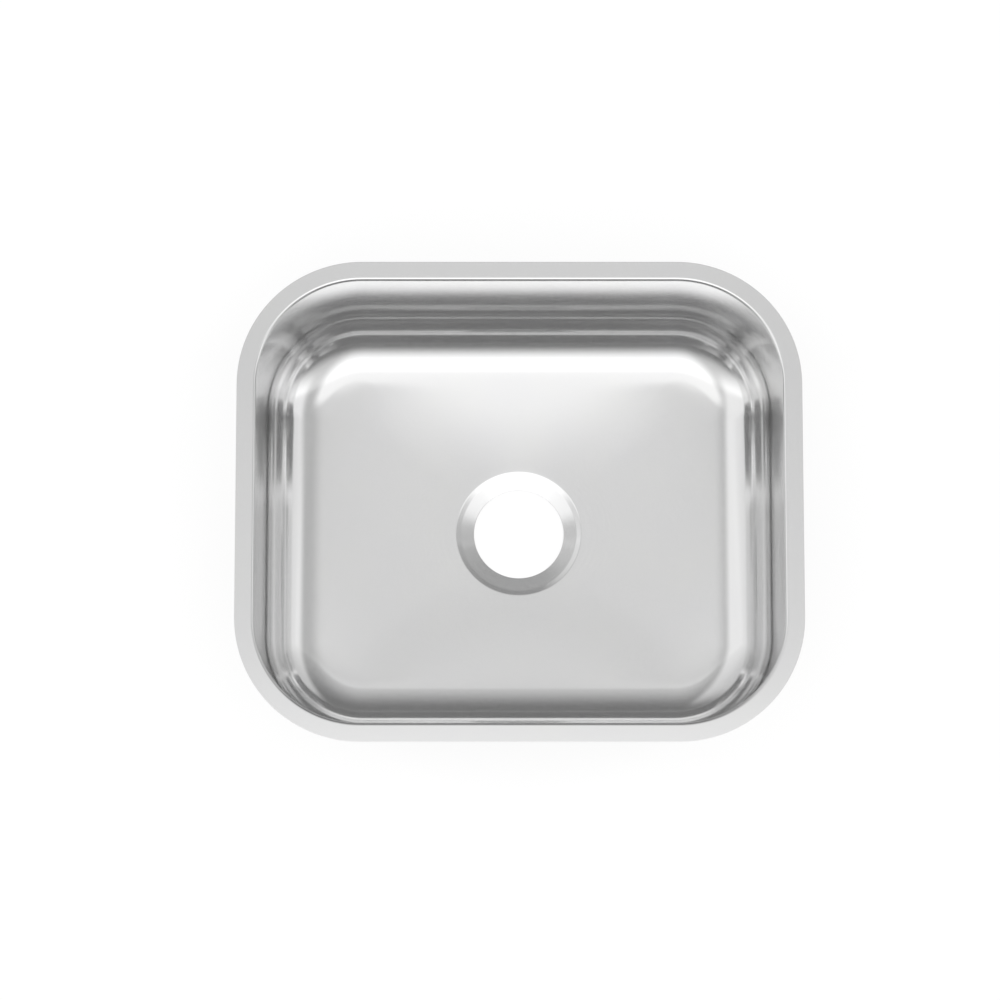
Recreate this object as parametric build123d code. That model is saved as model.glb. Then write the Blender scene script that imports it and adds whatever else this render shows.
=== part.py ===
from build123d import *
import os
from math import atan2, cos, radians, sin, sqrt, tan

# Undermount kitchen sink: one deep-drawn stainless bowl with a plain flange,
# damping pads stuck to its outside, and six swing-out clips on welded studs under the flange.
# Millimetres. The origin is the centre of the opening, on the flange's top face.
# X runs along the long side, Y from the front to the back, and Z is up.

# Bowl, pressed from one sheet
opening_length = 400.0
opening_width = 340.0
opening_corner_radius = 80.5
bowl_depth = 140.0
floor_fall = 4.0
wall_draft = 3.0
floor_bend_radius = 42.0
sheet = 1.0
flange_width = 14.0
rim_bend_radius = 2.0

# Drain recess: a short ring, then a gentler seat that slopes down to the open hole
recess_radius = 49.0
recess_seat_radius = 45.3
recess_ring_drop = 1.1
recess_seat_drop = 2.4
drain_hole_radius = 35.0

# Damping pads
floor_pad_thickness = 4.0
floor_pad_length = 70.0
floor_pad_width = 150.0
floor_pad_to_recess = 16.0
wall_pad_thickness = 3.0
wall_pad_height = 50.0
wall_pad_below_flange = 36.0
long_wall_pad_length = 180.0
short_wall_pad_length = 120.0

# Fixing stations: a weld stud with a swing clip, a washer and a nut
station_spacing = 150.0
stud_radius = 2.5
stud_length = 16.0
weld_pad_radius = 3.25
weld_pad_thickness = 0.8
clip_width = 10.0
clip_thickness = 2.0
clip_reach = 30.0
clip_tail_radius = 4.5
clip_screw_hole_radius = 2.6
washer_radius = 5.0
washer_thickness = 1.0
nut_across_flats = 8.0
nut_height = 4.0
nut_chamfer_angle = 30.0
stud_tip_chamfer = 0.6

# Clearances
clip_to_wall = 1.0
clip_seat_gap = 0.3
clip_pivot_clearance = 0.25
washer_clearance = 0.15
thread_clearance = 0.05
heel_stop_gap = 0.3

# Levels and places worked out from the sizes above
lean = radians(wall_draft)
recess_level = -bowl_depth
floor_edge_level = recess_level + floor_fall
seat_level = recess_level - recess_ring_drop
hole_level = seat_level - recess_seat_drop
ring_slope = atan2(recess_ring_drop, recess_radius - recess_seat_radius)
seat_slope = atan2(recess_seat_drop, recess_seat_radius - drain_hole_radius)
bend_centre_level = floor_edge_level + floor_bend_radius
floor_edge_inset = floor_bend_radius / cos(lean) - bend_centre_level * tan(lean)
floor_edge_length = opening_length - 2 * floor_edge_inset
floor_edge_width = opening_width - 2 * floor_edge_inset
floor_edge_radius = opening_corner_radius - floor_edge_inset
flange_length = opening_length + 2 * flange_width
flange_depth = opening_width + 2 * flange_width
flange_underside = -sheet
under_bend_radius = rim_bend_radius - sheet
clip_top = flange_underside - clip_seat_gap
washer_top = clip_top - clip_thickness
nut_top = washer_top - washer_thickness
stud_to_wall = clip_width / 2 + clip_to_wall
stud_inset = flange_width - sheet - stud_to_wall
bend_reach = under_bend_radius - sqrt(under_bend_radius**2 - (under_bend_radius - clip_seat_gap) ** 2)
heel_reach = stud_to_wall - bend_reach - heel_stop_gap
side_place = flange_length / 2 - stud_inset
front_place = flange_depth / 2 - stud_inset

# Each station: its name, its place on the flange, its turn from the front flange, and the
# clip's hand, chosen so that the left and right clips mirror each other
stations = [
    ("front_left", -station_spacing / 2, -front_place, 0, -1),
    ("front_right", station_spacing / 2, -front_place, 0, 1),
    ("right", side_place, 0, 90, 1),
    ("back_right", station_spacing / 2, front_place, 180, -1),
    ("back_left", -station_spacing / 2, front_place, 180, 1),
    ("left", -side_place, 0, -90, -1),
]
HANGING = (Align.CENTER, Align.CENTER, Align.MAX)
STANDING = (Align.CENTER, Align.CENTER, Align.MIN)


def rounded_outline(length, width, radius, level):
    """A rounded rectangle as a closed wire of four sides and four corner arcs."""
    return (Pos(0, 0, level) * RectangleRounded(length, width, radius)).face().outer_wire()


def split_circle(radius, level):
    """A circle cut into eight arcs that start and end in line with the floor edge's corners."""
    side_x = floor_edge_length / 2 - floor_edge_radius
    side_y = floor_edge_width / 2 - floor_edge_radius
    first = atan2(side_y, floor_edge_length / 2)
    second = atan2(floor_edge_width / 2, side_x)
    half_turn = radians(180)
    quarter = [first, second, half_turn - second, half_turn - first]
    turns = quarter + [turn + half_turn for turn in quarter]
    arcs = []
    for start, end in zip(turns, turns[1:] + [turns[0] + 2 * half_turn]):
        points = [start, (start + end) / 2, end]
        arcs.append(ThreePointArc(*[(radius * cos(a), radius * sin(a), level) for a in points]))
    return Wire(arcs)


def recess(grow):
    """The drain recess below the floor, with its faces moved out by grow."""
    middle = (ring_slope + seat_slope) / 2
    spread = grow / cos((ring_slope - seat_slope) / 2)
    rim = (recess_radius + grow * tan(ring_slope / 2), recess_level - grow)
    seat = (recess_seat_radius + spread * sin(middle), seat_level - spread * cos(middle))
    hole = (drain_hole_radius, hole_level - grow / cos(seat_slope))
    section = Polyline((0, rim[1]), rim, seat, hole, (0, hole[1]), close=True)
    return revolve(Plane.XZ * make_face(section), Axis.Z)


def hollow(grow):
    """The space inside the bowl, with every face moved out by grow."""
    spread = grow / cos(lean)
    opening = RectangleRounded(
        opening_length + 2 * spread, opening_width + 2 * spread, opening_corner_radius + spread
    )
    drop = grow - floor_edge_level
    block = extrude(opening, amount=-drop)
    walls = [f for f in block.faces() if abs(f.normal_at().Z) < 0.5]
    block = draft(walls, Plane.XY, angle=-wall_draft)
    foot = block.faces().sort_by(Axis.Z)[0].edges()
    block = fillet(foot, floor_bend_radius + grow)
    edge = rounded_outline(floor_edge_length, floor_edge_width, floor_edge_radius, -drop)
    rim = split_circle(recess_radius + grow * tan(ring_slope / 2), recess_level - grow)
    dish = Solid.make_loft([edge, rim], ruled=True)
    return block + dish + recess(grow)


def make_bowl(inside, outside):
    """The whole pressing: flange, rolled rim, walls, dished floor, drain recess and hole."""
    flange = extrude(
        RectangleRounded(flange_length, flange_depth, opening_corner_radius + flange_width),
        amount=-sheet,
    )
    shell = flange + outside
    underside = [f for f in shell.faces() if f.inner_wires() and f.center().Z < -sheet / 2][0]
    shell = fillet(underside.inner_wires()[0].edges(), under_bend_radius)
    shell = shell - inside
    top = shell.faces().sort_by(Axis.Z)[-1]
    shell = fillet(top.inner_wires()[0].edges(), rim_bend_radius)
    punch = Cylinder(drain_hole_radius, 2 * (recess_seat_drop + sheet))
    return shell - Pos(0, 0, hole_level) * punch


def floor_pad(outside, side):
    """A damping mat on the floor's underside, left (-1) or right (1) of the drain recess."""
    place = side * (recess_radius + floor_pad_to_recess + floor_pad_length / 2)
    height = 2 * (floor_fall + sheet + floor_pad_thickness)
    footprint = Box(floor_pad_length, floor_pad_width, height)
    lowered = Pos(0, 0, -floor_pad_thickness) * outside
    return (lowered & Pos(place, 0, floor_edge_level) * footprint) - outside


def wall_pad(outside, turn, length):
    """A damping mat on the outside of a wall. turn is the wall's way out, in degrees from +X."""
    way_out = Vector(1, 0, 0).rotate(Axis.Z, turn)
    reach = opening_length / 2 if turn % 180 == 0 else opening_width / 2
    spread = wall_pad_thickness / cos(lean)
    foot = wall_pad_below_flange + wall_pad_height
    depth = 2 * (spread + sheet + foot * tan(lean))
    footprint = Rot(0, 0, turn) * Box(depth, length, wall_pad_height, align=STANDING)
    widened = Pos(*(way_out * spread)) * outside
    return (widened & Pos(*(way_out * reach)) * Pos(0, 0, -foot) * footprint) - outside


def make_stud():
    """A threaded weld stud hanging from the flange's underside, with its weld pad."""
    pad = Cylinder(weld_pad_radius, weld_pad_thickness, align=HANGING)
    shank = Cylinder(stud_radius, stud_length, align=HANGING)
    tip = shank.edges().sort_by(Axis.Z)[0]
    return Pos(0, 0, flange_underside) * (pad + chamfer(tip, stud_tip_chamfer))


def make_clip(hand):
    """A flat steel clip on the stud, parked along the flange with its tail towards -X.

    The heel's inner corner is round, so that the clip can swing outwards past the wall, and its
    outer corner is square, so that the heel stops against the wall a quarter turn later.
    """
    half = clip_width / 2
    tail = clip_reach + half
    bar = Pos(-tail / 2, 0) * Rectangle(tail, clip_width)
    bar = fillet(bar.vertices().group_by(Axis.X)[0], clip_tail_radius)
    square_corner = Pos(heel_reach / 2, -half / 2) * Rectangle(heel_reach, half)
    round_corner = Circle(heel_reach) & Pos(heel_reach / 2, half / 2) * Rectangle(heel_reach, half)
    outline = bar + square_corner + round_corner
    outline -= Circle(weld_pad_radius + clip_pivot_clearance)
    outline -= Pos(-clip_reach, 0) * Circle(clip_screw_hole_radius)
    plate = Pos(0, 0, clip_top) * extrude(outline, amount=-clip_thickness)
    return plate if hand > 0 else mirror(plate, about=Plane.YZ)


def make_washer():
    """A flat washer under the clip."""
    ring = Circle(washer_radius) - Circle(stud_radius + washer_clearance)
    return Pos(0, 0, washer_top) * extrude(ring, amount=-washer_thickness)


def make_nut():
    """A hexagon nut on the stud, with its corners chamfered top and bottom."""
    corner_radius = nut_across_flats / 2 / cos(radians(30))
    overhang = corner_radius - nut_across_flats / 2
    blank = Cylinder(corner_radius, nut_height, align=HANGING)
    rims = blank.edges().filter_by(GeomType.CIRCLE)
    blank = chamfer(rims, overhang * tan(radians(nut_chamfer_angle)), overhang)
    hexagon = extrude(RegularPolygon(corner_radius, 6), amount=-nut_height)
    bore = Cylinder(stud_radius + thread_clearance, nut_height, align=HANGING)
    return Pos(0, 0, nut_top) * (hexagon & blank - bore)


def save(name, shape):
    """Write one sub-part as a single solid, and print its size."""
    solid = shape.solid()
    solid.label = name
    export_step(solid, os.path.join("parts", name + ".step"))
    print(f"{name}: {solid.volume:.1f} mm3, centre {solid.center()}")


os.makedirs("parts", exist_ok=True)
basin = hollow(0)
outer_block = hollow(sheet)
save("bowl", make_bowl(basin, outer_block))
save("floor_pad_left", floor_pad(outer_block, -1))
save("floor_pad_right", floor_pad(outer_block, 1))
save("wall_pad_right", wall_pad(outer_block, 0, short_wall_pad_length))
save("wall_pad_back", wall_pad(outer_block, 90, long_wall_pad_length))
save("wall_pad_left", wall_pad(outer_block, 180, short_wall_pad_length))
save("wall_pad_front", wall_pad(outer_block, 270, long_wall_pad_length))

for name, x, y, turn, hand in stations:
    place = Pos(x, y, 0) * Rot(0, 0, turn)
    save("weld_stud_" + name, place * make_stud())
    save("clip_" + name, place * make_clip(hand))
    save("washer_" + name, place * make_washer())
    save("nut_" + name, place * make_nut())
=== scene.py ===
# %% [markdown]
# # An undermount kitchen sink, seen from above
# The real object is one bowl drawn from a sheet of stainless steel. It hangs under a worktop by
# its flange. Under the flange are studs with swing clips, washers and nuts, and the outside
# carries rubber mats that damp the sound of water.
#
# The construction is already there as a fixed frame. This notebook dresses it: every piece is
# modelled again with finer edges, and then gets the finish of its real material. Lengths are in
# metres, X runs to the right, Y to the back and Z up, and the origin is the middle of the opening
# on the flange's top face.

# %% Load the frame
import math

import bmesh
import bpy
from mathutils import Matrix, Vector
from mathutils.bvhtree import BVHTree


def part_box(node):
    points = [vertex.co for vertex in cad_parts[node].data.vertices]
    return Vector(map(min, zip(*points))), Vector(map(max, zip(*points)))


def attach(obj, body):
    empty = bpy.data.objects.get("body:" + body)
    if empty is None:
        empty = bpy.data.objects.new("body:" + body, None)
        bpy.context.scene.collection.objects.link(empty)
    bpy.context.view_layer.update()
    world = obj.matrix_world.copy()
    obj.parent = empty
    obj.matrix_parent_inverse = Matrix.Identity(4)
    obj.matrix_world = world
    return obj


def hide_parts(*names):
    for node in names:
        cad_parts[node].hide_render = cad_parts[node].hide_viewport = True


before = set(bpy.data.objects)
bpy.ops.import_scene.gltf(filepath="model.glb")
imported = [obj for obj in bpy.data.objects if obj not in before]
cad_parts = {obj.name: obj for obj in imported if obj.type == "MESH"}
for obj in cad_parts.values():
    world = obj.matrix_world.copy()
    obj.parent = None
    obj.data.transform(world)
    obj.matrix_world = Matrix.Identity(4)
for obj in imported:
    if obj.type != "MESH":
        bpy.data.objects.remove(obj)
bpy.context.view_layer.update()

MM = 0.001
print("pieces in the frame:", len(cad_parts))

# %% [markdown]
# ## From a bmesh to a finished piece
# Each piece is shaped as a bmesh, in place and at its real size, so its object can stay at the
# origin. Two small helpers end every recipe below: one turns the bmesh into an object that is
# smooth everywhere except across sharp edges, with normals that follow the largest faces, and
# one ties it to the body that it moves with.

# %% Helpers that end each piece
def make_piece(name, bm, finishes, sharp_degrees=35):
    """Turn a bmesh into an object with these finishes, smooth but for its sharp edges."""
    mesh = bpy.data.meshes.new(name)
    bm.to_mesh(mesh)
    bm.free()
    for finish in finishes:
        mesh.materials.append(finish)
    mesh.shade_smooth()
    mesh.set_sharp_from_angle(angle=math.radians(sharp_degrees))
    piece = bpy.data.objects.new(name, mesh)
    piece.modifiers.new("flat_faces_first", "WEIGHTED_NORMAL").keep_sharp = True
    bpy.context.scene.collection.objects.link(piece)
    print(f"{name}: {len(mesh.polygons)} faces")
    return piece


def put_in_frame(piece, node, body):
    """Tie a piece to its body, and let it stand for the plain solid of the same part."""
    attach(piece, body)
    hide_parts(node)


# %% [markdown]
# No real edge is perfectly sharp, and a rounded one catches the light. Two more helpers find the
# sharp edges of a shape and round them. Points closer together than `same_place` count as one.

# %% Helpers for edges
same_place = 0.001 * MM


def sharp_edges(bm, degrees=60):
    """The edges where the surface turns by more than this."""
    limit = math.radians(degrees)
    return [edge for edge in bm.edges if edge.is_manifold and edge.calc_face_angle() > limit]


def round_edges(bm, edges, radius, segments=2):
    """Round these edges with an arc of about this radius."""
    bmesh.ops.bevel(
        bm, geom=edges, offset=radius, offset_type="OFFSET", segments=segments,
        profile=0.5, affect="EDGES", clamp_overlap=True, material=-1,
    )


def only(kind, items):
    """The items of one kind, such as the edges, out of an operator's result."""
    return [item for item in items if isinstance(item, kind)]


# %% [markdown]
# ## Finishes
# A finish is a Principled shader with a little procedural detail. Painted image maps could give
# the same detail, but they blur close up. A pattern worked out from Object coordinates doesn't,
# and since these are metres here, its scale comes straight from a real size: a grain of `size`
# metres needs a noise scale of about `1 / size`.

# %% Helpers for nodes
def linear(hex_colour):
    """An sRGB hex value as the linear colour that a shader socket takes."""
    channels = [int(hex_colour[start:start + 2], 16) / 255 for start in (1, 3, 5)]
    return [c / 12.92 if c <= 0.04045 else ((c + 0.055) / 1.055) ** 2.4 for c in channels] + [1]


def add_node(tree, kind, inputs=None, **settings):
    """Add a node, change its settings, and set or link its inputs."""
    node = tree.nodes.new(kind)
    for name, value in settings.items():
        setattr(node, name, value)
    for name, value in (inputs or {}).items():
        if isinstance(value, bpy.types.NodeSocket):
            tree.links.new(value, node.inputs[name])
        else:
            node.inputs[name].default_value = value
    return node


def combine(tree, operation, *values):
    """Chain several sockets or numbers with one kind of arithmetic."""
    result = values[0]
    for value in values[1:]:
        node = add_node(tree, "ShaderNodeMath", {0: result, 1: value}, operation=operation)
        result = node.outputs["Value"]
    return result


def spread(tree, value, low, high, start=0.25, end=0.75, **settings):
    """Carry a value from start..end, where most of a noise lies, to low..high."""
    span = {"Value": value, "From Min": start, "From Max": end, "To Min": low, "To Max": high}
    return add_node(tree, "ShaderNodeMapRange", span, **settings).outputs["Result"]


# %% [markdown]
# What wear, polishing and plating leave on a surface shows in three ways: the colour varies, the
# gloss varies, and the surface stands up a little. Each of them has a helper that lets a noise
# decide.

# %% Helpers for finishes
def new_finish(name, metallic):
    """An empty finish: its material, its node tree and its shader."""
    finish = bpy.data.materials.new(name)
    finish.use_nodes = True
    tree = finish.node_tree
    tree.nodes.clear()
    shader = add_node(tree, "ShaderNodeBsdfPrincipled", {"Metallic": metallic})
    add_node(tree, "ShaderNodeOutputMaterial", {"Surface": shader.outputs["BSDF"]})
    return finish, tree, shader


def grain(tree, size, stretch=(1, 1, 1), detail=2):
    """Noise with grains of about this size in metres, drawn out along an axis by its stretch."""
    place = add_node(tree, "ShaderNodeTexCoord").outputs["Object"]
    scale = [1 / (size * longer) for longer in stretch]
    mapped = add_node(tree, "ShaderNodeMapping", {"Vector": place, "Scale": scale})
    noise = add_node(
        tree, "ShaderNodeTexNoise",
        {"Vector": mapped.outputs["Vector"], "Scale": 1.0, "Detail": detail},
    )
    return noise.outputs["Fac"]


def vary_colour(tree, shader, pattern, dark, light):
    """Let a pattern move the colour between two hex values."""
    ramp = add_node(tree, "ShaderNodeValToRGB", {"Fac": pattern})
    ramp.color_ramp.elements[0].color = linear(dark)
    ramp.color_ramp.elements[1].color = linear(light)
    tree.links.new(ramp.outputs["Color"], shader.inputs["Base Color"])


def vary_roughness(tree, shader, pattern, smooth, rough):
    """Let a pattern move the roughness between two values."""
    tree.links.new(spread(tree, pattern, smooth, rough), shader.inputs["Roughness"])


def add_relief(tree, shader, pattern, depth, strength):
    """Let a pattern from 0 to 1 raise the surface by a depth in metres, at this strength."""
    height = {"Height": pattern, "Distance": depth, "Strength": strength}
    relief = add_node(tree, "ShaderNodeBump", height)
    tree.links.new(relief.outputs["Normal"], shader.inputs["Normal"])


# %% [markdown]
# ### Satin-polished stainless steel
# The visible side of the bowl is 18/10 stainless steel, drawn and then polished with fine
# abrasive along its length. What the eye gets is a neutral grey mirror that is a little soft,
# with hairline scratches that only show close up. The real scratches are about 0.05 mm apart;
# they are drawn 0.4 mm apart, which is as coarse as they need to be to show at all.
#
# One roughness for the whole surface makes a mirror that is just blurred. Real satin steel does
# two things at once: it keeps a fairly sharp image, and its finest scratches scatter some of the
# light widely, as a haze round that image. So a very fine noise makes a part of the surface much
# rougher. Its grains are far smaller than a pixel, and the eye only sees the mix. The colour is
# paler than steel's measured one, because light goes from wall to wall several times in a bowl,
# and this keeps its later bounces as bright as on the real thing.

# %% Satin steel
hairline_gap = 0.4 * MM
haze_grain = 0.06 * MM


def satin_steel():
    finish, tree, shader = new_finish("satin_polished_stainless_steel", metallic=1)
    clouds = grain(tree, 45 * MM)
    vary_colour(tree, shader, clouds, "#E9E9EA", "#EBEBEA")
    hairlines = grain(tree, hairline_gap, stretch=(40, 1, 1), detail=3)
    mirror = spread(tree, hairlines, 0.08, 0.10)
    finest_scratches = grain(tree, haze_grain, stretch=(4, 1, 1), detail=0)
    haze = spread(tree, finest_scratches, 0.0, 0.3, start=0.58, end=0.68)
    tree.links.new(combine(tree, "ADD", mirror, haze), shader.inputs["Roughness"])
    return finish


steel_inside = satin_steel()
print("finish:", steel_inside.name)

# %% [markdown]
# ### Drawn steel, left as it came from the press
# Nobody polishes the outside. It keeps the matt skin of the rolled sheet, with faint draw marks
# down the walls, so it is rougher than the inside, and darker. The draw marks are one noise,
# drawn out along Z. It decides both the gloss and the relief, because on the real sheet a mark
# changes both in the same place.

# %% Drawn steel
def drawn_steel():
    finish, tree, shader = new_finish("drawn_stainless_steel_outside", metallic=1)
    draw_marks = grain(tree, 1.2 * MM, stretch=(1, 1, 50), detail=3)
    mottle = grain(tree, 25 * MM, detail=4)
    vary_colour(tree, shader, mottle, "#B9B8B6", "#C4C3C1")
    vary_roughness(tree, shader, draw_marks, 0.30, 0.42)
    add_relief(tree, shader, draw_marks, 0.01 * MM, 0.3)
    return finish


steel_outside = drawn_steel()
print("finish:", steel_outside.name)

# %% [markdown]
# ### Damping rubber
# The mats are pressed from filled butyl rubber: nearly black, matt, and slightly dusty, with a
# fine grain from the mould. Dust makes rubber both paler and duller, so one noise, a few
# centimetres across, moves the colour and the roughness together.

# %% Rubber
def damping_rubber():
    finish, tree, shader = new_finish("pressed_butyl_rubber", metallic=0)
    mould_grain = grain(tree, 0.7 * MM, detail=3)
    dust = grain(tree, 18 * MM, detail=5)
    vary_colour(tree, shader, dust, "#29292B", "#3B3B3D")
    vary_roughness(tree, shader, dust, 0.62, 0.82)
    add_relief(tree, shader, mould_grain, 0.15 * MM, 0.5)
    return finish


rubber = damping_rubber()
print("finish:", rubber.name)

# %% [markdown]
# ### Bright zinc plating and bare stud steel
# The clips, washers and nuts are zinc plated: a cool, slightly milky metal. Its crystals are too
# small to show at this distance, so they are drawn 3 mm across. The studs are stainless, with
# tool marks that run round the thread: a noise drawn out along X and Y, so that it only changes
# quickly along the stud.

# %% Zinc and stud steel
def bright_zinc():
    finish, tree, shader = new_finish("bright_zinc_plated_steel", metallic=1)
    crystals = grain(tree, 3 * MM, detail=3)
    vary_colour(tree, shader, crystals, "#BDC1C5", "#CDD0D2")
    vary_roughness(tree, shader, crystals, 0.24, 0.34)
    add_relief(tree, shader, crystals, 0.02 * MM, 0.2)
    return finish


def stud_steel():
    finish, tree, shader = new_finish("turned_stainless_stud", metallic=1)
    tool_marks = grain(tree, 0.3 * MM, stretch=(6, 6, 1))
    vary_colour(tree, shader, tool_marks, "#ABA9A5", "#C3C1BD")
    vary_roughness(tree, shader, tool_marks, 0.25, 0.35)
    return finish


zinc = bright_zinc()
stud_finish = stud_steel()
print("finishes:", zinc.name, stud_finish.name)

# %% [markdown]
# ## The bowl
# The bowl is one pressing of even thickness. All of its corners are turned about four upright
# lines, so one section is enough for the whole of it: the section is spun through a quarter turn
# about a corner line, its two ends are pulled straight to the middle of the sink, and the quarter
# is mirrored twice. A box with rounded edges would need guesswork at every corner; here the
# section decides, as the press tool does.

# %% The bowl's sizes
flange_width = 14.5 * MM
sheet = 1 * MM
corner_radius = 80 * MM
bowl_depth = 140 * MM
floor_fall = 4 * MM
wall_draft = math.radians(3)
foot_tilt = math.radians(5)
rim_bend = 2.5 * MM
floor_bend = 45 * MM

bowl_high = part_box("bowl")[1]
half_length = bowl_high.x - flange_width
half_width = bowl_high.y - flange_width
corner = Vector((half_length - corner_radius, half_width - corner_radius, 0))
print(f"opening {2 * half_length / MM:.0f} x {2 * half_width / MM:.0f} mm")

# %% [markdown]
# ### Its section
# The section is a list of (inset from the opening, level) pairs: flange, rim bend, drafted wall,
# floor bend. The floor bend stops while it still slopes by `foot_tilt`, because the floor falls
# on from there to the drain. A row of points close to each tangent line keeps the smooth shading
# of a bend from bleeding into the flat beside it.

# %% The section
rim_steps = 10
bend_steps = 42
guard = 0.25 * MM
wall_rows = (0.003, 0.2, 0.4, 0.6, 0.8, 0.997)


def bowl_section():
    """Points (inset, level) from the flange's outer edge to the end of the floor bend."""
    upright = math.pi / 2 - wall_draft
    reach = rim_bend * math.tan(upright / 2)
    bend_level = floor_fall + floor_bend - bowl_depth
    bend_inset = floor_bend / math.cos(wall_draft) - bend_level * math.tan(wall_draft)
    points = [(-flange_width, 0), (guard - flange_width, 0), (-reach - guard, 0)]
    for step in range(rim_steps + 1):
        turn = upright * step / rim_steps
        points.append((rim_bend * math.sin(turn) - reach, rim_bend * (math.cos(turn) - 1)))
    wall_top = Vector(points[-1])
    bend = []
    for step in range(bend_steps + 1):
        tilt = upright + (foot_tilt - upright) * step / bend_steps
        across = bend_inset - floor_bend * math.sin(tilt)
        bend.append((across, bend_level - floor_bend * math.cos(tilt)))
    points += [wall_top.lerp(Vector(bend[0]), share) for share in wall_rows]
    return points + bend


print("points in the section:", len(bowl_section()))

# %% [markdown]
# ### Spin, pull and mirror
# `spin` turns the section about the corner line. `pull` extrudes a chain of edges in equal steps,
# which keeps the faces near to square. `mirror` merges what lies on its plane.

# %% One quarter, then the whole wall
corner_steps = 28
side_wall_steps = 10
back_wall_steps = 14


def pull(bm, edges, way, steps):
    """Extrude a chain of edges along a vector, in equal steps."""
    for _ in range(steps):
        made = bmesh.ops.extrude_edge_only(bm, edges=edges)["geom"]
        verts = only(bmesh.types.BMVert, made)
        bmesh.ops.translate(bm, verts=verts, vec=way / steps)
        moved = set(verts)
        edges = [e for e in only(bmesh.types.BMEdge, made) if moved.issuperset(e.verts)]


bowl = bmesh.new()
section = [
    bowl.verts.new((half_length - inset, corner.y, level)) for inset, level in bowl_section()
]
start = [bowl.edges.new(pair) for pair in zip(section, section[1:])]
turned = bmesh.ops.spin(
    bowl, geom=section + start, cent=corner, axis=(0, 0, 1), angle=math.pi / 2, steps=corner_steps
)
end = only(bmesh.types.BMEdge, turned["geom_last"])
pull(bowl, start, Vector((0, -corner.y, 0)), side_wall_steps)
pull(bowl, end, Vector((-corner.x, 0, 0)), back_wall_steps)
for axis in ("X", "Y"):
    whole = bowl.verts[:] + bowl.edges[:] + bowl.faces[:]
    bmesh.ops.mirror(bowl, geom=whole, axis=axis, merge_dist=same_place)
bmesh.ops.remove_doubles(bowl, verts=bowl.verts, dist=same_place)
print("faces in the wall:", len(bowl.faces))

# %% [markdown]
# ### The floor's dish
# The floor falls a little to the drain, so that water runs off. Its depth is a cubic along X
# times a parabola along Y, as a sheet takes when it is pressed between a frame and a ring: it has
# no creases, it is steepest beside the walls and it levels out towards the drain.
#
# The steel would show any kink where the bend ends as a line in its reflections, so the dish is
# eased there. It starts at the bend's own level and slope and turns into the dish within
# `ease_width`, and the little that this lowers it is given back on the way to the drain. The way
# out of the bend comes from a curve close to its rounded outline, |x/a|^8 + |y/b|^8 = 1.

# %% The dish
recess_radius = 49 * MM
ease_width = 14 * MM
outline_power = 8

foot = [e for e in bowl.edges if e.is_boundary and e.verts[0].co.z < -bowl_depth / 2]
foot_x = max(edge.verts[0].co.x for edge in foot)
foot_y = max(edge.verts[0].co.y for edge in foot)
dish_height = foot[0].verts[0].co.z + bowl_depth


def dish_depth(place):
    """How deep the dish is here, from 0 at its edge to 1 at its middle."""
    return (1 - abs(place.x / foot_x) ** 3) * (1 - (place.y / foot_y) ** 2)


def dish_level(place):
    """The dish's height above the recess."""
    at_rim = dish_depth(place.normalized() * recess_radius)
    return dish_height * (1 - dish_depth(place) / at_rim)


def bend_slope(edge):
    """How steeply the bend ends at this point of its edge, along the way to the drain."""
    out = Vector((
        abs(edge.x / foot_x) ** (outline_power - 1) / foot_x,
        abs(edge.y / foot_y) ** (outline_power - 1) / foot_y,
    ))
    across = out.normalized().dot((abs(edge.x), abs(edge.y))) / edge.length
    return math.tan(foot_tilt) * across


def floor_level_at(place, edge, share):
    """The floor's level at a place, share of the way from its edge to the recess."""
    nearby = edge - edge.normalized() * MM
    missing_slope = bend_slope(edge) - (dish_level(edge) - dish_level(nearby)) / MM
    eased = min((edge - place).length / ease_width, 1)
    step_up = (dish_height - dish_level(edge)) * (1 - eased) ** 2 * (1 + 2 * eased)
    sag = missing_slope * ease_width / 3 * (1 - (1 - eased) ** 3) * (1 - share)
    return dish_level(place) + step_up - sag - bowl_depth


print(f"the floor falls {dish_height / MM:.1f} mm from its edge to the recess")

# %% [markdown]
# ### The floor's rings
# The floor grows inwards from the open loop at the foot of the wall. Each ring is extruded from
# the last, and its points are drawn in along their own radii, until the loop is the round rim of
# the recess. A grid cut to shape would need a seam at both ends; the rings have none. They lie
# closer together near the bend, where the shape changes most.

# %% The rings
floor_rings = 20
ring_crowding = 1.5


def drop_to(bm, edges, place_of):
    """Extrude a loop of edges, and move each new point to place_of it. Returns the new loop."""
    made = bmesh.ops.extrude_edge_only(bm, edges=edges)["geom"]
    verts = set(only(bmesh.types.BMVert, made))
    for vert in verts:
        vert.co = place_of(vert.co)
    return [e for e in only(bmesh.types.BMEdge, made) if verts.issuperset(e.verts)]


def next_ring(step):
    """Draws a point of the last ring in to this one."""
    last, share = ((number / floor_rings) ** ring_crowding for number in (step - 1, step))

    def place_of(point):
        way = point.xy.normalized()
        to_recess = (point.xy.length - recess_radius) / (1 - last)
        place = way * (recess_radius + to_recess * (1 - share))
        level = floor_level_at(place, way * (recess_radius + to_recess), share)
        return place.to_3d() + Vector((0, 0, level))

    return place_of


recess_rim = foot
for step in range(1, floor_rings + 1):
    recess_rim = drop_to(bowl, recess_rim, next_ring(step))
print("edges in a ring:", len(recess_rim))

# %% [markdown]
# ### The drain recess and the hole
# The recess is a short steep ring and a sloping seat, on which the flange of a drain is clamped.
# Three more extrusions make them: the ring, the seat, and a narrow strip beside the hole that
# keeps the shading of its edge off the seat. The press leaves a small bend at both ends of the
# ring, so those two loops are rounded. Which way the faces point depends on where the spin began,
# so it is checked at the lowest face, which has to look up.

# %% The recess and the hole
seat_radius = 45.3 * MM
hole_radius = 35 * MM
ring_drop = 1.1 * MM
seat_drop = 2.4 * MM
recess_bend = 0.5 * MM


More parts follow.
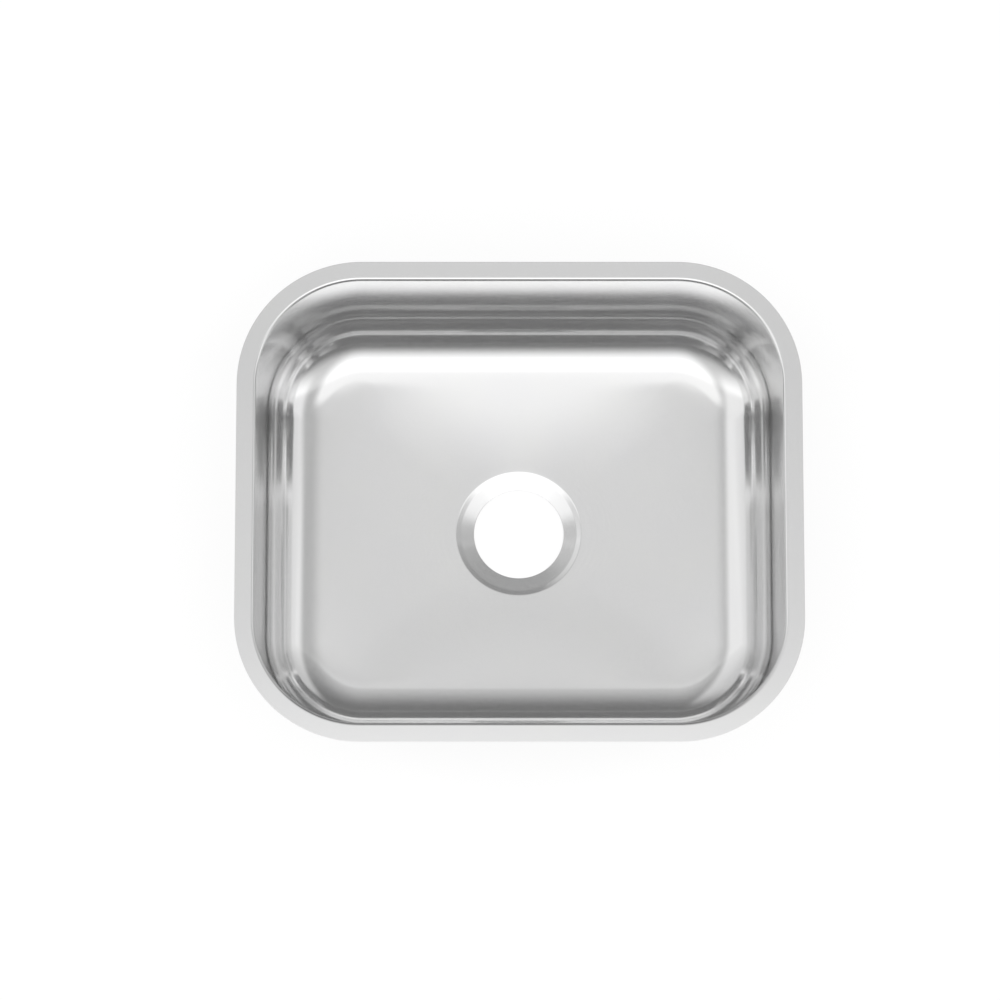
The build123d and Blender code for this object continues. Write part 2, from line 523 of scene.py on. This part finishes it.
def circle_at(radius, level):
    """Draws a point in along its own radius onto a circle."""
    return lambda place: place.xy.normalized().to_3d() * radius + Vector((0, 0, level))


seat_level = -bowl_depth - ring_drop
hole_level = seat_level - seat_drop
strip_level = hole_level + 2 * guard * seat_drop / (seat_radius - hole_radius)
seat_edge = drop_to(bowl, recess_rim, circle_at(seat_radius, seat_level))
strip_edge = drop_to(bowl, seat_edge, circle_at(hole_radius + 2 * guard, strip_level))
hole_edge = drop_to(bowl, strip_edge, circle_at(hole_radius, hole_level))
bmesh.ops.recalc_face_normals(bowl, faces=bowl.faces)
if min(bowl.faces, key=lambda face: face.calc_center_median().z).normal.z < 0:
    bmesh.ops.reverse_faces(bowl, faces=bowl.faces)
round_edges(bowl, recess_rim + seat_edge, recess_bend, segments=3)
print("edges round the hole:", len(hole_edge))

# %% [markdown]
# ### Thickness and edges
# So far the bowl is a skin: its upper face, with its normals up. `solidify` gives it the sheet's
# thickness. The new faces, which are the outside, take the second finish. Last, the cut edges of
# the flange and of the hole lose their sharpness, because every pressing is deburred.

# %% Thickness
deburred_edge = 0.15 * MM

upper = set(bowl.faces)
bmesh.ops.solidify(bowl, geom=bowl.faces[:], thickness=sheet)
for face in bowl.faces:
    face.material_index = 0 if face in upper else 1
round_edges(bowl, sharp_edges(bowl), deburred_edge)
lowest = min(vert.co.z for vert in bowl.verts)
print(f"bowl: lowest point {lowest / MM:.2f} mm, closed: {all(e.is_manifold for e in bowl.edges)}")

# %% [markdown]
# The bowl is whole now and becomes a piece. Its skin is kept as a search tree as well, so that
# the floor mats can find the steel that they are stuck to.

# %% The bowl as a piece
steel_skin = BVHTree.FromBMesh(bowl)
bowl_piece = make_piece("pressed_bowl", bowl, [steel_inside, steel_outside])
put_in_frame(bowl_piece, "bowl", "sink")

# %% [markdown]
# ## The damping mats
# Each mat is a slab of rubber with rounded corners and a waffle of raised cells, stuck on by its
# flat side. The slab is cut into cells with planes, and each cell is inset twice: once for the
# groove round it, and once more, raised, for the cell. A bump texture could draw the waffle, but
# its outline would stay flat, and here the cells catch the light as they do on the real thing.

# %% A flat mat
wall_mat_thickness = 3 * MM
mat_corner = 8 * MM
mat_edge = 0.4 * MM
cell_pitch = 10 * MM
cell_groove = 0.8 * MM
cell_relief = 0.8 * MM


def flat_mat(length, width, thickness):
    """A mat on the plane z = 0 with its waffle upwards, centred on the origin."""
    bm = bmesh.new()
    base = thickness - cell_relief
    bmesh.ops.create_cube(bm, size=1)
    bmesh.ops.scale(bm, vec=(length, width, base), verts=bm.verts)
    bmesh.ops.translate(bm, vec=(0, 0, base / 2), verts=bm.verts)
    upright = [e for e in bm.edges if e.verts[0].co.xy == e.verts[1].co.xy]
    round_edges(bm, upright, mat_corner, segments=6)
    round_edges(bm, [e for e in sharp_edges(bm) if e.verts[0].co.z > base / 2], mat_edge)
    for across, size in ((Vector((1, 0, 0)), length), (Vector((0, 1, 0)), width)):
        cells = round(size / cell_pitch)
        for cut in range(1, cells):
            bmesh.ops.bisect_plane(
                bm, geom=bm.verts[:] + bm.edges[:] + bm.faces[:], dist=same_place,
                plane_co=across * size * (cut / cells - 0.5), plane_no=across,
            )
    tops = [face for face in bm.faces if face.normal.z > 0.99]
    bmesh.ops.inset_individual(bm, faces=tops, thickness=cell_groove, use_even_offset=True)
    bmesh.ops.inset_individual(
        bm, faces=tops, thickness=cell_relief / 2, depth=cell_relief, use_even_offset=True
    )
    return bm


trial = flat_mat(180 * MM, 50 * MM, wall_mat_thickness)
print("faces in a mat of 180 x 50 mm:", len(trial.faces))
trial.free()

# %% [markdown]
# ### Mats on the walls
# A wall leans in by its draft, but it is flat between the corners. So a wall mat only has to be
# turned: its length along the wall, its width up the slope and its face outwards.

# %% Wall mats
def wall_mat(node, way_out):
    """A mat on the outside of the wall that looks along way_out."""
    low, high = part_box(node)
    along = Vector((0, 0, 1)).cross(way_out)
    face_out = way_out * math.cos(wall_draft) - Vector((0, 0, math.sin(wall_draft)))
    up_slope = face_out.cross(along)
    middle = (low + high) / 2
    reach = half_length if way_out.x else half_width
    wall = reach + middle.z * math.tan(wall_draft) + sheet / math.cos(wall_draft)
    origin = way_out * wall + Vector((0, 0, middle.z))
    length = abs((high - low).dot(along))
    width = (high.z - low.z) * math.cos(wall_draft)
    bm = flat_mat(length, width, wall_mat_thickness)
    turn = Matrix((along, up_slope, face_out)).transposed().to_4x4()
    bmesh.ops.transform(bm, matrix=Matrix.Translation(origin) @ turn, verts=bm.verts)
    return make_piece(node.replace("pad", "mat"), bm, [rubber])


ways_out = {"right": (1, 0, 0), "back": (0, 1, 0), "left": (-1, 0, 0), "front": (0, -1, 0)}
for side, way_out in ways_out.items():
    node = "wall_pad_" + side
    put_in_frame(wall_mat(node, Vector(way_out)), node, "sink")

# %% [markdown]
# ### Mats under the floor
# The floor is dished, so a floor mat is not quite flat. It is modelled flat, and then each of its
# points is carried up to the steel above it with a ray. The mat follows the bowl whatever shape
# the floor has.

# %% Floor mats
floor_mat_thickness = 3.7 * MM


def floor_mat(node):
    """A mat on the floor's underside."""
    low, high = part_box(node)
    bm = flat_mat(high.x - low.x, high.y - low.y, floor_mat_thickness)
    middle = (low + high) / 2
    for vert in bm.verts:
        below = Vector((vert.co.x + middle.x, vert.co.y + middle.y, 2 * low.z))
        steel = steel_skin.ray_cast(below, Vector((0, 0, 1)))[0]
        vert.co = steel - Vector((0, 0, vert.co.z))
    bmesh.ops.recalc_face_normals(bm, faces=bm.faces)
    return make_piece(node.replace("pad", "mat"), bm, [rubber])


for side in ("left", "right"):
    node = "floor_pad_" + side
    put_in_frame(floor_mat(node), node, "sink")

# %% [markdown]
# ## The six fixing stations
# A station is a stud, a clip, a washer and a nut. Each kind is modelled once in a local frame, as
# a function: the stud stands on the origin and points down, X runs along the flange away from the
# clip's tail, and Y points to the bowl. A matrix then takes it to its place. Some stations are
# mirror images of others, so the normals are made to agree again after the move.

# %% Places of the stations
def nearest_axis(way):
    """The way along X or Y that is closest to this one."""
    if abs(way.x) > abs(way.y):
        return Vector((math.copysign(1, way.x), 0, 0))
    return Vector((0, math.copysign(1, way.y), 0))


stations = {}
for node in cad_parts:
    if node.startswith("weld_stud_"):
        station = node.replace("weld_stud_", "")
        stud_low, stud_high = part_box(node)
        clip_low, clip_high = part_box("clip_" + station)
        origin = (stud_low + stud_high) / 2
        origin.z = 0
        tail = nearest_axis((clip_low + clip_high) / 2 - origin)
        to_bowl = Vector((0, -origin.y, 0)) if tail.x else Vector((-origin.x, 0, 0))
        turn = Matrix((-tail, to_bowl.normalized(), Vector((0, 0, 1)))).transposed().to_4x4()
        stations[station] = Matrix.Translation(origin) @ turn
print("stations:", ", ".join(stations))


def station_piece(name, bm, place, finish, node, body):
    """Carry a bmesh to its station and finish it there."""
    bmesh.ops.transform(bm, matrix=place, verts=bm.verts)
    bmesh.ops.recalc_face_normals(bm, faces=bm.faces)
    piece = make_piece(name, bm, [finish], sharp_degrees=30)
    put_in_frame(piece, node, body)


# %% [markdown]
# ### Turned shapes
# A washer, a nut and the weld collar of a stud are all turned from an outline. `lathe` spins a
# closed outline of (radius, level) pairs through a full circle and merges its seam.

# %% Lathe
def lathe(bm, outline, steps=72):
    """Spin a closed outline of (radius, level) points round Z."""
    verts = [bm.verts.new((radius, 0, level)) for radius, level in outline]
    edges = [bm.edges.new(pair) for pair in zip(verts, verts[1:] + verts[:1])]
    bmesh.ops.spin(
        bm, geom=verts + edges, cent=(0, 0, 0), axis=(0, 0, 1), angle=2 * math.pi,
        steps=steps, use_merge=True,
    )
    bmesh.ops.remove_doubles(bm, verts=bm.verts, dist=same_place)


# %% [markdown]
# ### Studs
# A stack of rings could pass for a thread from afar, but close up it doesn't climb. This thread
# is a real helix: one pitch of its outline is spun, and each step of the spin also sinks a
# little. A straight cut trims both ends, and the lower one is drawn in for the lead chamfer. The
# collar of metal that the weld pushes out sits at its root.

# %% A threaded stud
stud_radius = 2.5 * MM
thread_pitch = 0.8 * MM
thread_depth = 0.43 * MM
tip_chamfer = 0.6 * MM
collar_radius = 3.25 * MM
collar_height = 0.8 * MM
steps_per_turn = 30
flange_underside = -sheet


def weld_collar(bm, inside):
    """The low dome of metal round the stud's root, down to this radius inside the stud."""
    top = flange_underside
    lathe(bm, [
        (inside, top), (collar_radius, top), (collar_radius * 0.98, top - collar_height / 2),
        (collar_radius * 0.9, top - collar_height * 0.85), (stud_radius, top - collar_height),
        (inside, top - collar_height),
    ])


def threaded_stud(length):
    """A stud that hangs from the flange's underside."""
    bm = bmesh.new()
    root = stud_radius - thread_depth
    one_pitch = [(root, 0), (root, 0.2), (stud_radius, 0.5), (stud_radius, 0.65), (root, 1)]
    verts = [
        bm.verts.new((radius, 0, flange_underside - thread_pitch * (share - 1)))
        for radius, share in one_pitch
    ]
    edges = [bm.edges.new(pair) for pair in zip(verts, verts[1:])]
    turns = math.ceil(length / thread_pitch) + 2
    bmesh.ops.spin(
        bm, geom=verts + edges, cent=(0, 0, 0), axis=(0, 0, 1), angle=2 * math.pi * turns,
        dvec=(0, 0, -thread_pitch / steps_per_turn), steps=turns * steps_per_turn,
    )
    bmesh.ops.remove_doubles(bm, verts=bm.verts, dist=same_place)
    top = flange_underside - collar_height / 2
    tip = flange_underside - length + tip_chamfer
    for level, way in ((top, 1), (tip, -1)):
        cut = bmesh.ops.bisect_plane(
            bm, geom=bm.verts[:] + bm.edges[:] + bm.faces[:], dist=same_place,
            plane_co=(0, 0, level), plane_no=(0, 0, way), clear_outer=True,
        )
        cap = bmesh.ops.edgeloop_fill(bm, edges=only(bmesh.types.BMEdge, cut["geom_cut"]))
    tip_cap = cap["faces"]
    end = bmesh.ops.extrude_face_region(bm, geom=tip_cap)["geom"]
    end_verts = only(bmesh.types.BMVert, end)
    narrow = 1 - tip_chamfer / stud_radius
    bmesh.ops.translate(bm, verts=end_verts, vec=(0, 0, -tip_chamfer))
    bmesh.ops.scale(bm, verts=end_verts, vec=(narrow, narrow, 1))
    bmesh.ops.delete(bm, geom=tip_cap, context="FACES_ONLY")
    weld_collar(bm, root / 2)
    return bm


for station, place in stations.items():
    node = "weld_stud_" + station
    low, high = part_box(node)
    stud = threaded_stud(high.z - low.z)
    name = "threaded_stud_" + station
    station_piece(name, stud, place, stud_finish, node, "sink")

# %% [markdown]
# ### Clips
# A clip is stamped from 2 mm strip. Its outline starts as a rectangle with some corners rounded
# by a vertex bevel; then both holes are added as circles and `triangle_fill` closes the sheet
# round them. Extruding gives the thickness, and a small bevel gives the edge that tumbling leaves.
# Holes cut with a boolean would do as well, but this keeps the mesh clean, without slivers.

# %% A swing clip
clip_tail = 35 * MM
clip_reach = 30 * MM
clip_heel = 5.41 * MM
clip_half_width = 5 * MM
clip_thickness = 2 * MM
clip_top = -1.3 * MM
tail_corner = 4.5 * MM
heel_corner = 4.9 * MM
tumbled_edge = 0.25 * MM
pivot_hole = 3.5 * MM
screw_hole = 2.6 * MM


def round_corners(bm, verts, radius):
    """Round the corners of a flat outline."""
    bmesh.ops.bevel(
        bm, geom=verts, offset=radius, offset_type="OFFSET", segments=10, profile=0.5,
        affect="VERTICES", clamp_overlap=True, material=-1,
    )


def swing_clip():
    """A clip with its tail towards -X, round at its inner heel and square at its outer one."""
    bm = bmesh.new()
    half = clip_half_width
    corners = [(-clip_tail, -half), (clip_heel, -half), (clip_heel, half), (-clip_tail, half)]
    verts = [bm.verts.new((x, y, clip_top)) for x, y in corners]
    for pair in zip(verts, verts[1:] + verts[:1]):
        bm.edges.new(pair)
    at_tail, at_heel = [verts[0], verts[3]], [verts[2]]
    round_corners(bm, at_tail, tail_corner)
    round_corners(bm, at_heel, heel_corner)
    for x, radius in ((0, pivot_hole), (-clip_reach, screw_hole)):
        place = Matrix.Translation((x, 0, clip_top))
        bmesh.ops.create_circle(bm, segments=40, radius=radius, matrix=place)
    bmesh.ops.triangle_fill(bm, use_beauty=True, edges=bm.edges, normal=(0, 0, 1))
    bottom = bmesh.ops.extrude_face_region(bm, geom=bm.faces[:])["geom"]
    verts = only(bmesh.types.BMVert, bottom)
    bmesh.ops.translate(bm, verts=verts, vec=(0, 0, -clip_thickness))
    bmesh.ops.recalc_face_normals(bm, faces=bm.faces)
    round_edges(bm, sharp_edges(bm), tumbled_edge)
    return bm


for station, place in stations.items():
    node = "clip_" + station
    station_piece("swing_" + node, swing_clip(), place, zinc, node, node)

# %% [markdown]
# ### Washers and nuts
# The washer is a plain turned ring with rounded edges. The nut is turned first, with a chamfer on
# both ends, and then its outside is drawn in to six flats. Where the chamfer's cone meets a flat
# the edge is a curve, and drawing the chamfer's row of points in along the cone gives exactly it.
# A six-sided prism with bevelled ends would have straight edges there.

# %% A washer
washer_radius = 5 * MM
washer_hole = 2.65 * MM
washer_thickness = 1 * MM
washer_edge = 0.2 * MM
washer_top = clip_top - clip_thickness
washer_bottom = washer_top - washer_thickness


def flat_washer():
    bm = bmesh.new()
    lathe(bm, [
        (washer_hole, washer_top), (washer_radius, washer_top), (washer_radius, washer_bottom),
        (washer_hole, washer_bottom),
    ])
    round_edges(bm, sharp_edges(bm), washer_edge)
    return bm


# %% A nut, and both at every station
nut_flat = 4 * MM
nut_height = 4 * MM
nut_bore = 2.55 * MM
nut_face = 3.85 * MM
nut_top = washer_bottom
nut_edge = 0.12 * MM
bore_chamfer = 0.3 * MM
chamfer_slope = math.tan(math.radians(30))
sixth = math.radians(60)


def hex_nut():
    bm = bmesh.new()
    widest = nut_flat / math.cos(sixth / 2)
    slope_end = (widest - nut_face) * chamfer_slope
    bottom = nut_top - nut_height
    lathe(bm, [
        (nut_bore + bore_chamfer, nut_top), (nut_face, nut_top), (widest, nut_top - slope_end),
        (widest, bottom + slope_end), (nut_face, bottom), (nut_bore + bore_chamfer, bottom),
        (nut_bore, bottom + bore_chamfer), (nut_bore, nut_top - bore_chamfer),
    ], steps=120)
    middle = nut_top - nut_height / 2
    for vert in bm.verts:
        if vert.co.xy.length > nut_face + 0.01 * MM:
            from_flat = math.atan2(vert.co.y, vert.co.x) % sixth - sixth / 2
            radius = nut_flat / math.cos(from_flat)
            level = nut_height / 2 - (radius - nut_face) * chamfer_slope
            vert.co.xy = vert.co.xy.normalized() * radius
            vert.co.z = middle + math.copysign(level, vert.co.z - middle)
    corners = [
        e for e in sharp_edges(bm, degrees=50)
        if abs(e.verts[0].co.z - e.verts[1].co.z) > nut_height / 2
    ]
    round_edges(bm, corners, nut_edge)
    return bm


for station, place in stations.items():
    node = "washer_" + station
    station_piece("flat_" + node, flat_washer(), place, zinc, node, node)
    node = "nut_" + station
    station_piece("hex_" + node, hex_nut(), place, zinc, node, node)

# %% [markdown]
# ## Camera
# The photograph looks almost straight down, from a little in front, through a long lens. Its
# distance, lean and focal length come from fitting the outline of the flange, the floor and the
# drain with a pinhole camera, so nothing needs to be shifted or cropped.

# %% Camera
camera_lean = math.radians(10.94)
camera_distance = 3.572
aim = Vector((-14.66 * MM, -0.42 * MM, 0))
sensor_width = 36
focal_ratio = 4.7436

back_off = Vector((0, -math.sin(camera_lean), math.cos(camera_lean))) * camera_distance
lens = bpy.data.cameras.new("camera")
lens.sensor_width = sensor_width
lens.lens = sensor_width * focal_ratio
lens.clip_end = 60
camera = bpy.data.objects.new("camera", lens)
camera.location = aim + back_off
camera.rotation_euler = (camera_lean, 0, 0)
bpy.context.scene.collection.objects.link(camera)
bpy.context.scene.camera = camera
print("camera at", tuple(round(value, 3) for value in camera.location))

# %% [markdown]
# ## Light tent, floor and lamps
# Polished steel has no look of its own: it shows its surroundings. A studio shoots it in a light
# tent, whose cloth glows where a softbox stands behind it and is darker elsewhere. This one has
# - a wide softbox overhead, which reaches down to the front,
# - a ceiling behind it that glows less and fades to the back, with one brighter strip,
# - a softbox on each side, and a weaker lamp high at the front,
# - a pale band just above the horizon, left dark to the front and the back.
#
# The darker cloth between them draws the dark lines that give the metal its shape. Real lamps
# could do this too, but they would show their hard outlines. So the tent is a dome that only
# reflections can see, and its glow is written in degrees. Each softbox is a patch with a level
# and soft edges, and a cap keeps the places where patches overlap from outshining the rest.

# %% Angles and patches
def soft_edge(tree, value, dark, bright):
    """0 at one value and 1 at the other, with a smooth change between them."""
    return spread(tree, value, 0, 1, start=dark, end=bright, interpolation_type="SMOOTHSTEP")


def patch(tree, level, *edges):
    """A patch of this level with soft edges. Each edge is: a value, dark at, bright at."""
    return combine(tree, "MULTIPLY", level, *[soft_edge(tree, *edge) for edge in edges])


def in_degrees(tree, operation, *values):
    """An angle worked out from sockets, in degrees."""
    angle = add_node(tree, "ShaderNodeMath", dict(enumerate(values)), operation=operation)
    degrees = add_node(
        tree, "ShaderNodeMath", {0: angle.outputs["Value"]}, operation="DEGREES"
    )
    return degrees.outputs["Value"]


# %% The tent's glow
cloth_level = 0.25
patch_cap = 1.47


def tent_glow(tree):
    """The tent's brightness at each direction, as a socket."""
    place = add_node(tree, "ShaderNodeTexCoord").outputs["Object"]
    unit = add_node(tree, "ShaderNodeVectorMath", {0: place}, operation="NORMALIZE")
    axes = add_node(tree, "ShaderNodeSeparateXYZ", {"Vector": unit.outputs["Vector"]}).outputs

    # Tilts are from straight up, as seen from the front or from the side. The turn is from the
    # upright plane that runs from left to right.
    tilt_right = in_degrees(tree, "ARCTAN2", axes["X"], axes["Z"])
    tilt_back = in_degrees(tree, "ARCTAN2", axes["Y"], axes["Z"])
    turn_back = in_degrees(tree, "ARCSINE", axes["Y"])
    elevation = in_degrees(tree, "ARCSINE", axes["Z"])
    tilt_left = combine(tree, "MULTIPLY", tilt_right, -1)
    off_middle = combine(tree, "MAXIMUM", tilt_right, tilt_left)
    slanted_left = combine(tree, "ADD", tilt_left, combine(tree, "MULTIPLY", 0.35, turn_back))

    overhead = patch(tree, 1.25, (tilt_back, 9.4, 0), (off_middle, 36, 12))
    strip = patch(tree, 0.2, (tilt_back, 13.5, 16.5), (tilt_back, 20, 17.5))
    fading_back = patch(tree, 0.6, (tilt_back, 60, 10))
    beside_overhead = patch(tree, 0.13, (tilt_back, 17, 10.5))
    dimmer = patch(tree, -0.4, (off_middle, 0, 32))
    ceiling = combine(tree, "ADD", strip, fading_back, beside_overhead)
    ceiling = combine(tree, "MULTIPLY", ceiling, combine(tree, "ADD", 1, dimmer))
    above = patch(tree, combine(tree, "ADD", overhead, ceiling), (tilt_back, -66, -8))

    right_or_left = combine(
        tree, "ADD", soft_edge(tree, tilt_right, 41, 56), soft_edge(tree, slanted_left, 26, 41)
    )
    sides = patch(
        tree, combine(tree, "MULTIPLY", 0.6, right_or_left), (turn_back, 65, 40),
        (turn_back, -32, -8),
    )

    patches = combine(tree, "ADD", cloth_level, above, sides)
    front_lamp = patch(tree, 0.42, (tilt_back, -5, -18), (tilt_back, -64, -42))
    inside = combine(tree, "ADD", combine(tree, "MINIMUM", patches, patch_cap), front_lamp)
    horizon = patch(tree, 0.9, (elevation, 22, 8), (turn_back, -66, -50), (turn_back, 66, 50))
    return combine(tree, "MAXIMUM", inside, horizon)


# %% [markdown]
# The dome is far larger than the sink, so that a direction means the same all over the steel.
# Only reflections see it: it lights nothing matt, casts no shadow and hides from the camera.

# %% The tent
tent_radius = 8.0
tent_foot = -0.2
tent_level = 0.787


def hide_from(piece, *rays):
    """Hide a piece from these kinds of rays."""
    for ray in rays:
        setattr(piece, "visible_" + ray, False)


def stage_material(name):
    """A material with nothing in it but its output, whose glow isn't sampled as a lamp."""
    material = bpy.data.materials.new(name)
    material.use_nodes = True
    material.node_tree.nodes.clear()
    material.cycles.emission_sampling = "NONE"
    output = add_node(material.node_tree, "ShaderNodeOutputMaterial")
    return material, material.node_tree, output


dome = bmesh.new()
bmesh.ops.create_uvsphere(dome, u_segments=96, v_segments=48, radius=tent_radius)
bmesh.ops.bisect_plane(
    dome, geom=dome.verts[:] + dome.edges[:] + dome.faces[:], plane_co=(0, 0, tent_foot),
    plane_no=(0, 0, -1), clear_outer=True,
)
bmesh.ops.reverse_faces(dome, faces=dome.faces)
tent_cloth, tree, output = stage_material("tent_cloth")
brightness = combine(tree, "MULTIPLY", tent_level, tent_glow(tree))
glow = add_node(tree, "ShaderNodeEmission", {"Strength": brightness})
tree.links.new(glow.outputs["Emission"], output.inputs["Surface"])
tent = make_piece("light_tent", dome, [tent_cloth])
hide_from(tent, "camera", "diffuse", "transmission", "volume_scatter", "shadow")

# %% [markdown]
# The floor is a plain pale sheet just under the bowl. What looks at it directly, or through a
# reflection, sees mostly its own even white; a share of it is ordinary matt paper that keeps the
# sink's shadow. The paper straight below the sink lies in that shadow, and the walls mirror it
# through the drain hole. For reflections that shadow is painted: the paper's white is darkened
# there by a painted shadow, by its flat distance from the middle of the sink. Seen from below the
# floor is clear, so that the underside can be looked at too.

# %% The floor's paper
paper_share = 0.12
shadow_ends = 2.5
shadow_is_full = 0.8
# How dark the painted shadow under the sink is, and where it fades out, as reflections see it.
painted_shadow_depth = 0.8
painted_shadow_ends = 140 * MM
painted_shadow_is_full = 80 * MM


def looking_rays(tree):
    """The rays that look at a thing: straight, in a reflection and through glass."""
    rays = add_node(tree, "ShaderNodeLightPath").outputs
    return rays["Is Camera Ray"], rays["Is Glossy Ray"], rays["Is Transmission Ray"]


def pale_paper():
    paper, tree, output = stage_material("pale_paper")
    straight, mirrored, through_glass = looking_rays(tree)
    place = add_node(tree, "ShaderNodeTexCoord").outputs["Object"]
    flat = add_node(tree, "ShaderNodeVectorMath", {0: place, 1: (1, 1, 0)}, operation="MULTIPLY")
    length = add_node(
        tree, "ShaderNodeVectorMath", {0: flat.outputs["Vector"]}, operation="LENGTH"
    )
    distance = length.outputs["Value"]
    matt_share = patch(tree, paper_share, (distance, shadow_ends, shadow_is_full))
    looked_at = combine(tree, "ADD", straight, mirrored, through_glass)
    share = combine(tree, "MULTIPLY", looked_at, combine(tree, "SUBTRACT", 1, matt_share))
    # Painted shadow: for reflections only, the paper's white is dimmed near the middle of the
    # sink.
    painted_shadow_mask = soft_edge(tree, distance, painted_shadow_ends, painted_shadow_is_full)
    painted_shadow = combine(tree, "MULTIPLY", painted_shadow_depth, mirrored, painted_shadow_mask)
    white = add_node(
        tree, "ShaderNodeEmission",
        {"Color": linear("#FFFFFF"), "Strength": combine(tree, "SUBTRACT", 1, painted_shadow)},
    )
    matt = add_node(tree, "ShaderNodeBsdfDiffuse", {"Color": linear("#F4F4F4")})
    lit = add_node(
        tree, "ShaderNodeMixShader",
        {"Fac": share, 1: matt.outputs["BSDF"], 2: white.outputs["Emission"]},
    )
    clear = add_node(tree, "ShaderNodeBsdfTransparent")
    behind = add_node(tree, "ShaderNodeNewGeometry").outputs["Backfacing"]
    sided = add_node(
        tree, "ShaderNodeMixShader",
        {"Fac": behind, 1: lit.outputs["Shader"], 2: clear.outputs["BSDF"]},
    )
    tree.links.new(sided.outputs["Shader"], output.inputs["Surface"])
    return paper


# %% The floor
floor_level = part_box("bowl")[0].z - 0.4 * MM
floor_reach = 6

ground = bmesh.new()
bmesh.ops.create_grid(
    ground, x_segments=4, y_segments=4, size=floor_reach,
    matrix=Matrix.Translation((0, 0, floor_level)),
)
floor = make_piece("pale_floor", ground, [pale_paper()])

# %% [markdown]
# The world is white to whatever looks at it, and lights the scene with less than half of that.
# Three square lamps do the rest: one overhead and a weaker one on each side. They only matter for
# the matt surfaces, the mats and the floor, because the metal sees the tent in their place.

# %% The world and the lamps
room_light = 0.45

world = bpy.data.worlds.new("studio")
world.use_nodes = True
world.node_tree.nodes.clear()
tree = world.node_tree
strength = combine(tree, "MAXIMUM", *looking_rays(tree), room_light)
backdrop = add_node(
    tree, "ShaderNodeBackground", {"Color": linear("#FFFFFF"), "Strength": strength}
)
add_node(tree, "ShaderNodeOutputWorld", {"Surface": backdrop.outputs["Background"]})
bpy.context.scene.world = world


def softbox(name, place, size, watts):
    """A square area lamp that points at the sink. The tent stands for its reflection."""
    lamp = bpy.data.lights.new(name, "AREA")
    lamp.size = size
    lamp.energy = watts
    holder = bpy.data.objects.new(name, lamp)
    holder.location = place
    holder.rotation_euler = (-Vector(place)).to_track_quat("-Z", "Y").to_euler()
    hide_from(holder, "camera", "glossy")
    bpy.context.scene.collection.objects.link(holder)
    print(f"{name}: {watts} W")


softbox("softbox_overhead", place=(0, -0.8, 2.6), size=2.0, watts=55)
softbox("softbox_left", place=(-2.2, 0.2, 1.6), size=1.0, watts=22)
softbox("softbox_right", place=(2.2, 0.2, 1.6), size=1.0, watts=22)

bpy.context.scene.view_settings.view_transform = "Standard"
